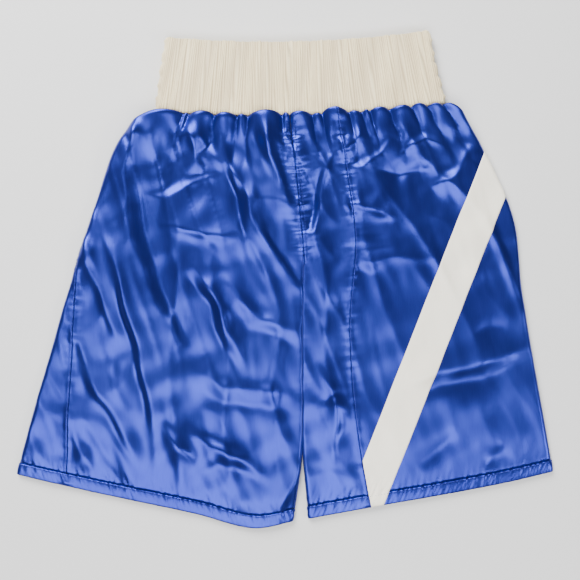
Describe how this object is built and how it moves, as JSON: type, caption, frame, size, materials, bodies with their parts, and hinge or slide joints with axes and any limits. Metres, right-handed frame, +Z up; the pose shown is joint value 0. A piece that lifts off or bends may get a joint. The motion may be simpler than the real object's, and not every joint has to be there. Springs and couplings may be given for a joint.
{
  "type": "boxing shorts",
  "caption": "Satin boxing shorts lying flat, back uppermost, with a wide gathered elastic waistband, side panels, turned-up hems and one broad slanting tape.",
  "frame": {"origin": "middle of the footprint, on the surface that the shorts lie on", "axes": "+Y towards the waistband, +X towards the wearer's right leg as seen from behind, +Z up through the thickness"},
  "size_m": [0.563, 0.515, 0.0188],
  "materials": {
    "satin_blue": "glossy polyester satin, royal blue",
    "waistband_cream": "ivory satin casing gathered in fine ribs",
    "elastic_white": "woven rubber elastic, off-white",
    "tape_cream": "cream satin tape",
    "thread_blue": "blue polyester sewing thread",
    "thread_cream": "cream polyester sewing thread"
  },
  "bodies": {
    "root": {"waistband_casing": "waistband_cream", "waistband_elastic": "elastic_white", "waistband_join_stitching": "thread_cream", "waist_seam_stitching": "thread_cream", "back_panel_left": "satin_blue", "back_panel_right": "satin_blue", "front_panel_left": "satin_blue", "front_panel_right": "satin_blue", "side_panel_left": "satin_blue", "side_panel_right": "satin_blue", "hem_left": "satin_blue", "hem_right": "satin_blue", "side_stripe_tape": "tape_cream", "centre_seam_stitching_back": "thread_blue", "centre_seam_stitching_front": "thread_blue", "side_seam_stitching_back_left": "thread_blue", "side_seam_stitching_back_right": "thread_blue", "side_seam_stitching_front_left": "thread_blue", "side_seam_stitching_front_right": "thread_blue", "inseam_stitching_left": "thread_blue", "inseam_stitching_right": "thread_blue", "hem_stitching_left": "thread_blue", "hem_stitching_right": "thread_blue"}
  },
  "joints": []
}
